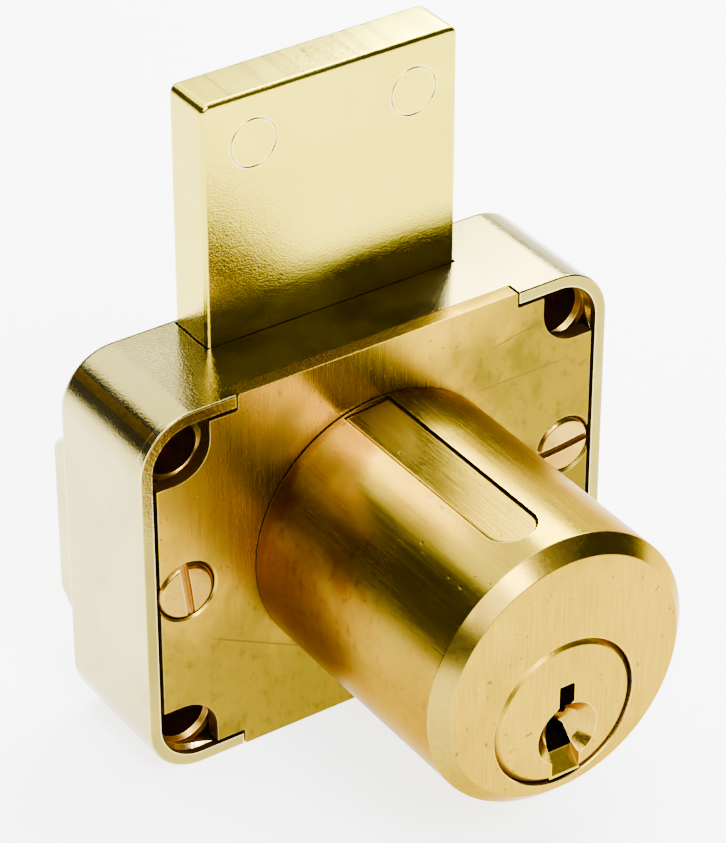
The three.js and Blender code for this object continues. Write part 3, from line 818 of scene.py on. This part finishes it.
def build_case():
    sides = CASE_HALF - CASE_WALL
    back_inner = CASE_DEPTH - CASE_BACK_WALL
    body = slab(
        "case_body",
        rounded_rectangle(
            -CASE_HALF, CASE_HALF, CASE_LOW.z, CASE_HIGH.z, CASE_CORNER, CASE_ARC_STEPS,
        ),
        0, CASE_DEPTH, RIM_EDGE, BACK_EDGE, 4,
    )
    flat_half = RISE_HALF_HEIGHT - RISE_DRAFT
    join(body, back_rise(flat_half, back_inner - RISE_OVERLAP))
    inner = slab(
        "inner",
        rounded_rectangle(
            -sides, sides, CASE_LOW.z + CASE_WALL, CASE_HIGH.z - CASE_WALL,
            CASE_CORNER - CASE_WALL, CASE_ARC_STEPS,
        ),
        -1, back_inner,
    )
    deep = block(
        "deep", (RISE_WALL - RISE_HALF_WIDTH, back_inner - 1, CASE_MIDDLE - flat_half),
        (RISE_HALF_WIDTH - RISE_WALL, CASE_HIGH.y - RISE_WALL, CASE_MIDDLE + flat_half),
    )
    cut(body, inner, deep)
    posts = [
        rod("post", POST_RADIUS, BOSS_FRONT, CASE_HIGH.y - RISE_WALL / 2, side * SCREW_X, SCREW_Z)
        for side in (-1, 1)
    ]
    join(body, *each_corner(screw_boss), *posts)
    post_holes = [
        rod("post_hole", SCREW_SHANK + RUNNING_GAP, 0, SCREW_TIP + 1, side * SCREW_X, SCREW_Z)
        for side in (-1, 1)
    ]
    tab_notches = block(
        "tabs", (-TAB_HALF_WIDTH - TAB_GAP, -1, CASE_LOW.z - 1),
        (TAB_HALF_WIDTH + TAB_GAP, PLATE_THICKNESS + BARREL_GAP, CASE_HIGH.z + 1), TAB_SLOT_EDGE,
    )
    slot_half = BOLT_HALF_WIDTH + BOLT_GAP
    slot_top = CASE_HIGH.z + 1
    bolt_slot = slab(
        "bolt_slot",
        round_corners(
            [(-slot_half, 0), (slot_half, 0), (slot_half, slot_top), (-slot_half, slot_top)],
            BOLT_SLOT_CORNER,
        ),
        BOLT_LOW.y - BOLT_GAP, BOLT_HIGH.y + BOLT_GAP,
    )
    cut(body, *each_corner(screw_hole), *post_holes, tab_notches, bolt_slot)
    finishes = [PLATED_CASE, RAW_CASTING, HOLE_PAINTED_SHADE, PLATED_RIM_SHADED]
    return dress(place(body, finishes, case_part), "case", "plated_case", "case_shell")


# ------------------------------------------------------------------ front plate and its screws


def build_plate():
    sides = CASE_HALF - CASE_WALL - PLATE_GAP
    low = CASE_LOW.z + CASE_WALL + PLATE_GAP
    high = CASE_HIGH.z - CASE_WALL - PLATE_GAP
    notch_top = CASE_MIDDLE + NOTCH_Z
    notch_low = CASE_MIDDLE - NOTCH_Z
    tab = TAB_HALF_WIDTH

    def quarter(side, end):
        """The outline of one corner, from the side of the plate to its tab."""
        edge_z = notch_top if end > 0 else notch_low
        flank_z = high if end > 0 else low
        tip_z = CASE_HIGH.z if end > 0 else CASE_LOW.z
        points = [(sides, edge_z)]
        for x, z in arc(0, 0, NOTCH_CORNER, math.pi * 1.5, math.pi):
            points.append((NOTCH_X + NOTCH_CORNER + x, edge_z + end * (NOTCH_CORNER + z)))
        points += [
            (NOTCH_X, flank_z), (tab + TAB_RELIEF, flank_z), (tab, flank_z + end * TAB_RELIEF),
            (tab, tip_z - end * TAB_CHAMFER), (tab - TAB_CHAMFER, tip_z),
        ]
        return [(side * x, z) for x, z in points]

    outline = quarter(1, 1) + quarter(-1, 1)[::-1] + quarter(-1, -1) + quarter(1, -1)[::-1]
    plate = slab("front_plate_face", outline, 0, PLATE_THICKNESS, PLATE_EDGE, 0.0, 2)
    seat = SCREW_HEAD + RUNNING_GAP
    seat_floor = SCREW_DEPTH + RUNNING_GAP
    shank = SCREW_SHANK + RUNNING_GAP
    seats = [
        lathe("seat", [
            (seat + SCREW_SEAT_FLARE[0], -SCREW_SEAT_FLARE[1]), (seat + SCREW_SEAT_EDGE, 0),
            (seat, SCREW_SEAT_EDGE), (seat, seat_floor), (shank, seat_floor),
            (shank, PLATE_THICKNESS + 1),
        ], side * SCREW_X, SCREW_Z, SMALL_ROUND)
        for side in (-1, 1)
    ]
    hole = rod("hole", SPIGOT_RADIUS + RUNNING_GAP, -1, PLATE_THICKNESS + 1, segments=ROUND)
    cut(plate, hole, *seats)
    return dress(place(plate, [PLATE_BRASS]), "case", "satin_brass_plate", "front_plate")


def build_screw(side_name):
    side = -1 if side_name == "left" else 1
    crown = round_corners([
        (SCREW_FLAT, -SCREW_PROUD), (SCREW_HEAD - SCREW_EDGE, SCREW_EDGE_DROP - SCREW_PROUD),
        (SCREW_HEAD, SCREW_EDGE), (SCREW_HEAD, SCREW_DEPTH),
    ], SCREW_CROWN_CURVE, closed=False)
    body = lathe(f"plate_screw_{side_name}_head", [
        *crown, (SCREW_SHANK, SCREW_DEPTH), (SCREW_SHANK, SCREW_TIP - SCREW_TIP_CHAMFER),
        (SCREW_SHANK - SCREW_TIP_CHAMFER, SCREW_TIP),
    ], side * SCREW_X, SCREW_Z, SMALL_ROUND)
    half = SCREW_SLOT / 2
    slot_floor = SCREW_SLOT_DEPTH - SCREW_PROUD
    slot = block("slot", (-half, -2, -SCREW_HEAD - 1), (half, slot_floor, SCREW_HEAD + 1))
    turn = Matrix.Rotation(SLOT_TURNS[side_name], 4, "Y")
    slot.data.transform(Matrix.Translation((side * SCREW_X, 0, SCREW_Z)) @ turn)
    cut(body, slot)

    def in_slot(face):
        """Chooses the dull floor of the slot or the bright head."""
        return 1 if 0 < face.center.y < SCREW_DEPTH / 2 and abs(face.normal.y) > 0.9 else 0

    place(body, [SCREW_BRASS, RAW_CASTING], in_slot)
    return dress(body, "case", "screw_brass", f"plate_screw_{side_name}")


# ------------------------------------------------------------------ barrel, strip and plug


def strip_bar(name, width, front, rear, under, top, edge=0.0):
    """A bar along Y with one round end, for the cover strip and its slot; edge rounds its top."""
    radius = width / 2
    round_end = arc(0, front + radius, radius, math.pi, TAU, STRIP_ARC_STEPS)
    outline = [(radius, rear), (-radius, rear)] + round_end
    bar = slab(name, outline, -top, -under, edge, 0.0, 3)
    bar.data.transform(Matrix.Rotation(-math.pi / 2, 4, "X"))
    return lean(bar)


def chamber(number, low, high):
    """The bore for one pin, standing on the plug's axis."""
    y = FIRST_PIN_Y + number * PIN_PITCH
    bore = rod("chamber", CHAMBER_RADIUS, low, high, segments=CHAMBER_SEGMENTS)
    bore.data.transform(Matrix.Rotation(math.pi / 2, 4, "X"))
    return lean(bore, y)


def barrel_part(face):
    """Chooses the turned side, the ground front face or the bevel between them."""
    x, y, z = face.center
    if y > BARREL_FRONT + BARREL_BEVEL + 0.02:
        return 0
    if face.normal.y < -0.95:
        return 1
    return 2 if math.hypot(x, z) > BARREL_RADIUS - 2 * BARREL_BEVEL else 0


def build_barrel():
    bevel_radius = BARREL_RADIUS - BARREL_BEVEL
    profile = round_corners([
        (BARREL_CAP, BARREL_FRONT), (bevel_radius - BARREL_FACE_RING, BARREL_FRONT),
        (bevel_radius, BARREL_FRONT),
        (BARREL_RADIUS, BARREL_FRONT + BARREL_BEVEL), (BARREL_RADIUS, -BARREL_GAP),
        (SPIGOT_RADIUS, -BARREL_GAP), (SPIGOT_RADIUS, PLATE_THICKNESS + BARREL_GAP),
        (LIP_RADIUS, PLATE_THICKNESS + BARREL_GAP), (LIP_RADIUS, BARREL_HIGH.y),
        (BARREL_CAP, BARREL_HIGH.y),
    ], BARREL_EDGE, 2, closed=False)
    body = lathe("barrel_body", profile)
    bore_radius = PLUG_RADIUS + RUNNING_GAP
    bore = lathe("bore", [
        (bore_radius + BARREL_EDGE + 0.5, BARREL_FRONT - 0.5),
        (bore_radius + BARREL_EDGE, BARREL_FRONT),
        (bore_radius, BARREL_FRONT + BARREL_EDGE), (bore_radius, BARREL_HIGH.y + 1),
    ], 0, PLUG_Z)
    slot = strip_bar(
        "slot", STRIP_WIDTH + 2 * STRIP_GAP, STRIP_FRONT - STRIP_GAP, STRIP_REAR + STRIP_GAP,
        STRIP_UNDER - STRIP_GAP, STRIP_TOP + 3,
    )
    chambers = [chamber(n, PLUG_RADIUS - 1, STRIP_UNDER) for n in range(PIN_COUNT)]
    cut(body, bore, slot, *chambers)
    place(body, [BARREL_SIDE, BARREL_FACE, BEVEL_BRASS], barrel_part)
    return dress(body, "case", "turned_brass", "barrel")


def build_strip():
    strip = strip_bar(
        "pin_cover_bar", STRIP_WIDTH, STRIP_FRONT, STRIP_REAR, STRIP_UNDER, STRIP_TOP, STRIP_EDGE,
    )
    return dress(place(strip, [STRIP_BRASS]), "case", "strip_brass", "pin_cover_strip")


# The broached keyway, in X and height above the plug's axis; the same outline as in the CAD model.
KEYWAY = [
    (-0.47, 2.36), (-0.47, 0.57), (-0.95, 0.05), (-0.95, -6.5), (1.48, -6.5), (1.48, -4.3), (1.24, -3.7),
    (0.9, -2.15), (-0.1, -1.1), (-0.1, -0.5), (0.7, -0.93), (0.74, -0.3), (0.1, 0.2), (0.88, 0.7),
    (0.88, 2.15), (0.74, 2.36),
]


def plug_part(face):
    """Chooses the ground brass or the milled walls of the dish and the keyway."""
    x, y, z = face.center
    from_axis = math.hypot(x, z - PLUG_Z)
    milled = BARREL_FRONT + TOLERANCE < y < KEYWAY_REAR and from_axis < PLUG_RADIUS - 0.8
    foot = z < PLUG_Z + RAMP_CREST and face.normal.y < -0.5
    return 1 if milled and not foot else 0


def keyway_ramp():
    """The sloping foot of the keyway, behind the front face."""
    left, right = KEYWAY[3][0] - 0.1, KEYWAY[5][0] + 0.1
    foot, crest = PLUG_Z - PLUG_RADIUS + PLUG_CHAMFER, PLUG_Z + RAMP_CREST
    front, rear = BARREL_FRONT + RAMP_START, BARREL_FRONT + RAMP_END
    low = foot - 0.2
    ramp = slab("ramp", [(left, low), (right, low), (right, crest), (left, crest)], front, rear)
    for vertex in ramp.data.vertices:
        if vertex.co.y < front + TOLERANCE and vertex.co.z > foot:
            vertex.co.z = foot
    return ramp


def build_plug():
    chamfer_radius = PLUG_RADIUS - PLUG_CHAMFER
    profile = round_corners([
        (PLUG_CAP, BARREL_FRONT), (chamfer_radius - PLUG_FACE_RING, BARREL_FRONT),
        (chamfer_radius, BARREL_FRONT), (PLUG_RADIUS, BARREL_FRONT + PLUG_CHAMFER),
        (PLUG_RADIUS, PLUG_REAR), (PLUG_CAP, PLUG_REAR),
    ], PLUG_EDGE, 2, closed=False)
    body = lathe("plug_core", profile, 0, PLUG_Z)
    tail = block(
        "tail", (-TAIL_HALF, PLUG_REAR - 1, PLUG_Z - TAIL_HALF),
        (TAIL_HALF, PLUG_HIGH.y, PLUG_Z + TAIL_HALF), TAIL_EDGE,
    )
    join(body, tail)
    keyway_outline = round_corners([(x, PLUG_Z + z) for x, z in KEYWAY], KEYWAY_CORNER, 2)
    keyway = slab("keyway", keyway_outline, BARREL_FRONT - 1, KEYWAY_REAR)
    dish = lathe("dish", [
        (DISH_RADIUS + 0.3, BARREL_FRONT - 0.5), (DISH_RADIUS, BARREL_FRONT),
        (DISH_RADIUS * 0.66, BARREL_FRONT + DISH_DEPTH * 0.6),
        (DISH_RADIUS * 0.6, BARREL_FRONT + DISH_DEPTH * 0.62),
        (0.05, BARREL_FRONT + DISH_DEPTH * 1.2),
    ], DISH[0], PLUG_Z + DISH[1], DISH_SEGMENTS)
    bore = rod("bore", CAM_SCREW_BORE, CAM_SCREW_BORE_FRONT, PLUG_HIGH.y + 1, 0, PLUG_Z)
    chambers = [chamber(n, KEY_PIN_REST - RUNNING_GAP, PLUG_RADIUS + 1) for n in range(PIN_COUNT)]
    cut(body, keyway, dish, bore, *chambers)
    join(body, keyway_ramp())
    place(body, [PLUG_BRASS, MILLED_BRASS], plug_part)
    return dress(body, "plug", "plug_brass", "plug")


# ------------------------------------------------------------------ bolt


def crank_slot():
    """The slot that the crank pin runs in: its path across the bolt, with clearance, open at one side."""
    pin_x = (CRANK_LOW.x + CRANK_HIGH.x) / 2
    pin_z = (CRANK_LOW.z + CRANK_HIGH.z) / 2
    crank = math.hypot(pin_x, pin_z - PLUG_Z)
    start = math.atan2(pin_z - PLUG_Z, pin_x)
    reach = (CRANK_HIGH.x - CRANK_LOW.x) / 2 + CRANK_PIN_CLEARANCE
    rising = []
    for i in range(CRANK_STEPS + 1):
        angle = start - PLUG_TURN * i / CRANK_STEPS
        if angle > 0:
            z = PLUG_Z + crank * math.sin(angle) + THROW * i / CRANK_STEPS + reach * 1.15
            if not rising or z > rising[-1][1]:
                rising.append((crank * math.cos(angle), z))
    side = BOLT_HIGH.x + 1
    floor = pin_z - reach - 0.1
    outline = [
        (side, rising[-1][1]), *reversed(rising), (pin_x - reach * 0.9, pin_z + reach * 0.7),
        (pin_x - reach * 1.1, pin_z), (pin_x - reach * 0.8, floor + 0.4), (pin_x, floor), (side, floor),
    ]
    return slab("crank_slot", outline, BOLT_LOW.y - 1, BOLT_HIGH.y + 1)


def bolt_part(face):
    """Chooses the plated faces, the milled top or the floor of an ejector groove, painted darker as
    shade.
    """
    x, y, z = face.center
    depth = y - BOLT_LOW.y
    if TOLERANCE < depth < EJECTOR_DEPTH + TOLERANCE and z > CASE_HIGH.z:
        distances = [math.hypot(x - mark[0], z - mark[1]) for mark in EJECTOR_MARKS]
        return 2 if min(distances) < EJECTOR_RADIUS + TOLERANCE else 0
    return 1 if face.normal.z > 0.95 and z > BOLT_TOP - 0.1 else 0


def build_bolt():
    blade = slab(
        "bolt_blade",
        rounded_rectangle(
            -BOLT_HALF_WIDTH, BOLT_HALF_WIDTH, BOLT_LOW.z, BOLT_TOP, BOLT_CORNER, 6,
        ),
        BOLT_LOW.y, BOLT_HIGH.y, BOLT_EDGE, BOLT_EDGE, 4,
    )
    tail = slab(
        "tail",
        rounded_rectangle(
            BOLT_LOW.x, BOLT_HIGH.x, BOLT_LOW.z, BOLT_TAIL_TOP, BOLT_TAIL_CORNER, 4,
        ),
        BOLT_LOW.y, BOLT_HIGH.y, BOLT_EDGE, BOLT_EDGE, 4,
    )
    join(blade, tail)
    marks = []
    floor = BOLT_LOW.y + EJECTOR_DEPTH
    for x, z in EJECTOR_MARKS:
        groove = rod("groove", EJECTOR_RADIUS, BOLT_LOW.y - 0.5, floor, x, z)
        core = rod("core", EJECTOR_RADIUS - EJECTOR_GROOVE, BOLT_LOW.y - 1, floor + 1, x, z)
        cut(groove, core)
        marks.append(groove)
    cut(blade, crank_slot(), *marks)
    finishes = [PLATED_BOLT, PLATED_BOLT_TOP, PLATED_GROOVE_SHADED]
    return dress(place(blade, finishes, bolt_part), "bolt", "plated_bolt", "bolt")


# ------------------------------------------------------------------ inner pieces kept from the CAD model


def finish_inner_pieces():
    """Gives the hidden CAD pieces a metal finish each."""
    finishes = {
        "drive_cam": ZINC_STEEL, "crank_pin": ZINC_STEEL, "cam_screw": ZINC_STEEL,
        "cam_washer": SPRING_STEEL,
    }
    for number in range(1, PIN_COUNT + 1):
        finishes[f"key_pin_{number}"] = PIN_BRASS
        finishes[f"driver_pin_{number}"] = PIN_BRASS
    for name, material in finishes.items():
        mesh = frame["nodes"][name].data
        mesh.materials.clear()
        mesh.materials.append(material)


def build_spring(number):
    """A coil spring with closed ends."""
    low = PLUG_RADIUS + DRIVER_TOP + RUNNING_GAP + SPRING_WIRE
    high = STRIP_UNDER - RUNNING_GAP - SPRING_WIRE
    closed = SPRING_WIRE * SPRING_CLOSED_PITCH
    heights = [low, low + closed, high - closed, high]
    turns = [0, 1, SPRING_TURNS - 1, SPRING_TURNS]
    builder = bmesh.new()
    rings = []
    for step in range(SPRING_TURNS * SPRING_STEPS + 1):
        turn = step / SPRING_STEPS
        part = 0 if turn < turns[1] else (1 if turn < turns[2] else 2)
        share = (turn - turns[part]) / (turns[part + 1] - turns[part])
        height = heights[part] + share * (heights[part + 1] - heights[part])
        outward = Vector((math.cos(TAU * turn), math.sin(TAU * turn), 0))
        ring = []
        for corner in range(SPRING_SIDES):
            angle = TAU * corner / SPRING_SIDES
            point = outward * (SPRING_RADIUS + SPRING_WIRE * math.cos(angle))
            point.z = height + SPRING_WIRE * math.sin(angle)
            ring.append(builder.verts.new(point))
        rings.append(ring)
    for first, second in zip(rings, rings[1:]):
        for corner in range(SPRING_SIDES):
            after = (corner + 1) % SPRING_SIDES
            builder.faces.new((first[corner], first[after], second[after], second[corner]))
    builder.faces.new(rings[0])
    builder.faces.new(rings[-1])
    y = FIRST_PIN_Y + (number - 1) * PIN_PITCH
    spring = place(lean(new_object(f"coil_spring_{number}", builder), y), [SPRING_STEEL])
    dress(spring, "case", "spring_steel", f"pin_spring_{number}")
    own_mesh(spring)


# ------------------------------------------------------------------ floor, light and camera


FLOOR_GLOW = 3.6
FLOOR_FAR_DIMMING = 8
FLOOR_FADE = (0.15, 0.36)
FLOOR_HALF = 1.2


def stage_floor():
    """A matt pale floor that glows near the lock, so it renders nearly white, and fades further out."""
    material = bpy.data.materials.new("pale_floor")
    material.use_nodes = True
    shader = material.node_tree.nodes["Principled BSDF"]
    shader.inputs["Base Color"].default_value = (0.86, 0.86, 0.86, 1)
    shader.inputs["Roughness"].default_value = 1.0
    shader.inputs["Specular IOR Level"].default_value = 0.0
    shader.inputs["Emission Color"].default_value = (1, 1, 1, 1)
    tree = material.node_tree
    distance = tree.nodes.new("ShaderNodeVectorMath")
    distance.operation = "LENGTH"
    fade = tree.nodes.new("ShaderNodeMapRange")
    fade.interpolation_type = "SMOOTHSTEP"
    fade.inputs["From Min"].default_value = FLOOR_FADE[0]
    fade.inputs["From Max"].default_value = FLOOR_FADE[1]
    fade.inputs["To Min"].default_value = FLOOR_GLOW
    fade.inputs["To Max"].default_value = FLOOR_GLOW / FLOOR_FAR_DIMMING
    tree.links.new(tree.nodes.new("ShaderNodeTexCoord").outputs["Object"], distance.inputs[0])
    tree.links.new(distance.outputs["Value"], fade.inputs["Value"])
    tree.links.new(fade.outputs["Result"], shader.inputs["Emission Strength"])
    mesh = bpy.data.meshes.new("floor")
    half = FLOOR_HALF
    corners = [(-half, -half, 0), (half, -half, 0), (half, half, 0), (-half, half, 0)]
    mesh.from_pydata(corners, [], [(0, 1, 2, 3)])
    mesh.materials.append(material)
    floor = bpy.data.objects.new("floor", mesh)
    bpy.context.scene.collection.objects.link(floor)


# Each softbox: name, azimuth and elevation from the lock in degrees, distance, width, height, radiance.
SOFTBOXES = [
    ("back", 4, 44, 0.62, 0.54, 0.30, 5.5),
    ("top", 10, 84, 0.70, 0.60, 0.50, 12.0),
    ("right_back", 53, 41, 0.22, 0.12, 0.10, 42.0),
    ("right_low", 60, 8, 0.40, 0.30, 0.16, 4.0),
    ("front_left", -158, 34, 0.60, 0.34, 0.26, 12.0),
    ("front_key", -174, 47, 0.62, 0.16, 0.15, 64.0),
]
WORLD_GREY = 0.10


def light_stage(centre):
    for name, azimuth, elevation, distance, width, height, radiance in SOFTBOXES:
        a, e = math.radians(azimuth), math.radians(elevation)
        towards = Vector((math.sin(a) * math.cos(e), math.cos(a) * math.cos(e), math.sin(e)))
        data = bpy.data.lights.new(name, "AREA")
        data.shape = "RECTANGLE"
        data.size = width
        data.size_y = height
        data.energy = radiance * math.pi * width * height
        lamp = bpy.data.objects.new(name, data)
        lamp.visible_camera = False
        lamp.location = centre + towards * distance
        lamp.rotation_euler = towards.to_track_quat("Z", "Y").to_euler()
        bpy.context.scene.collection.objects.link(lamp)
    world = bpy.data.worlds.new("studio")
    world.use_nodes = True
    background = world.node_tree.nodes["Background"]
    background.inputs["Color"].default_value = (WORLD_GREY, WORLD_GREY, WORLD_GREY, 1)
    bpy.context.scene.world = world


# Place and target are in millimetres in the lock's axes; lens and sensor are in millimetres too.
CAMERA_PLACE = (-132.6, -194.6, 166.9)
CAMERA_TARGET = (-1.585, 0.0, 9.381)
CAMERA_LENS = 164.57
CAMERA_SENSOR = 36


def set_camera():
    data = bpy.data.cameras.new("camera")
    data.lens = CAMERA_LENS
    data.sensor_width = CAMERA_SENSOR
    camera = bpy.data.objects.new("camera", data)
    spot = Vector(CAMERA_PLACE)
    backwards = spot - Vector(CAMERA_TARGET)
    camera.location = ORIGIN + spot * MM
    camera.rotation_euler = backwards.to_track_quat("Z", "Y").to_euler()
    data.clip_start = 0.01
    bpy.context.scene.collection.objects.link(camera)
    bpy.context.scene.camera = camera


# ------------------------------------------------------------------ the scene

set_camera()
build_case()
build_plate()
build_screw("left")
build_screw("right")
build_barrel()
build_strip()
build_plug()
build_bolt()
for pin_number in range(1, PIN_COUNT + 1):
    build_spring(pin_number)
finish_inner_pieces()
stage_floor()
light_stage(Vector((0, 0, (cad_box[0][2] + cad_box[1][2]) / 2)))
